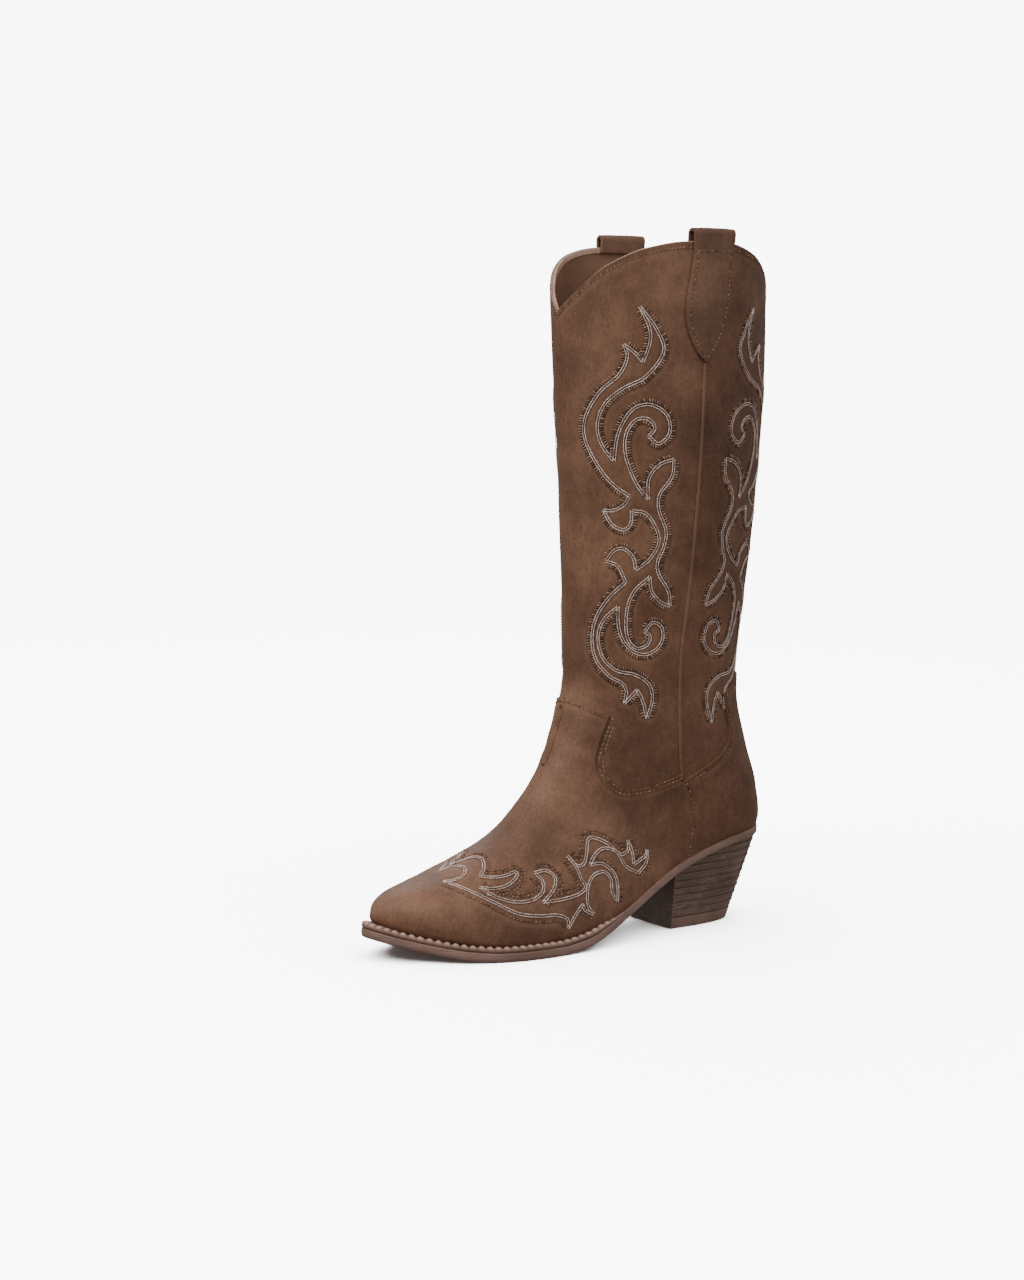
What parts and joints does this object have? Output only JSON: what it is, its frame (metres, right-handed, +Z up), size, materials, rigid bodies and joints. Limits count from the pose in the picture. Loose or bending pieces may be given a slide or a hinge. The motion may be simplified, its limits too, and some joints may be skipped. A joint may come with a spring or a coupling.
{
  "type": "cowboy boot",
  "caption": "Knee-length western boot for the left foot with a scalloped top, pull straps, an inside zip, a snip toe and a slanted stacked heel.",
  "frame": {"origin": "on the ground, at the middle of the heel's base", "axes": "+Z up, -Y toward the toe, +X toward the outer side of the left foot"},
  "size_m": [0.1064, 0.267, 0.4101],
  "materials": {
    "upper_leather": "mottled, waxed and worn",
    "strap_leather": "satin",
    "edge_leather": "raw cut edge",
    "lining_leather": "matt",
    "embroidery_thread": "twisted polyester",
    "brown_thread": "twisted polyester",
    "fibreboard": "matt",
    "cork": "granular",
    "steel": "satin",
    "sole": "dressed edge",
    "welt": "dressed edge",
    "heel_stack": "dressed stacked leather",
    "top_lift": "matt",
    "zip_tape": "woven",
    "zip_coil": "nylon",
    "zip_metal": "antiqued"
  },
  "bodies": {
    "boot": {"vamp": "upper_leather", "heel_counter": "upper_leather", "shaft_front_panel": "upper_leather", "shaft_back_panel": "upper_leather", "side_welt": "upper_leather", "pull_strap_outer": "strap_leather", "pull_strap_inner": "strap_leather", "topline_binding": "edge_leather", "foot_lining": "lining_leather", "shaft_lining_front": "lining_leather", "shaft_lining_back": "lining_leather", "sock_liner": "lining_leather", "toe_puff": "fibreboard", "heel_stiffener": "fibreboard", "insole_board": "fibreboard", "steel_shank": "steel", "bottom_filler": "cork", "outsole": "sole", "welt": "welt", "heel_top_lift": "top_lift", "heel_screw": "steel", "zip_tape_back": "zip_tape", "zip_tape_front": "zip_tape", "zip_coil_back": "zip_coil", "zip_coil_front": "zip_coil", "zip_top_stop": "zip_metal", "zip_bottom_stop": "zip_metal", "zip_guard": "lining_leather", "heel_lift_1": "heel_stack", "heel_lift_2": "heel_stack", "heel_lift_3": "heel_stack", "heel_lift_4": "heel_stack", "heel_lift_5": "heel_stack", "heel_lift_6": "heel_stack", "heel_lift_7": "heel_stack", "heel_lift_8": "heel_stack", "heel_lift_9": "heel_stack", "heel_lift_10": "heel_stack", "heel_nail_1": "steel", "heel_nail_2": "steel", "heel_nail_3": "steel", "heel_nail_4": "steel"},
    "slider": {"zip_slider": "zip_metal"},
    "pull": {"zip_pull": "zip_metal"}
  },
  "joints": [
    {"name": "zip_slide", "type": "slide", "parent": "boot", "child": "slider", "axis": [0.0568, -0.0838, -0.9949], "range_m": [0, 0.175]},
    {"name": "zip_pull_hinge", "type": "hinge", "parent": "slider", "child": "pull", "pos_m": [-0.04604, -0.02038, 0.24137], "axis": [0.0048, 0.9965, -0.0837], "range_deg": [0, 160]}
  ]
}
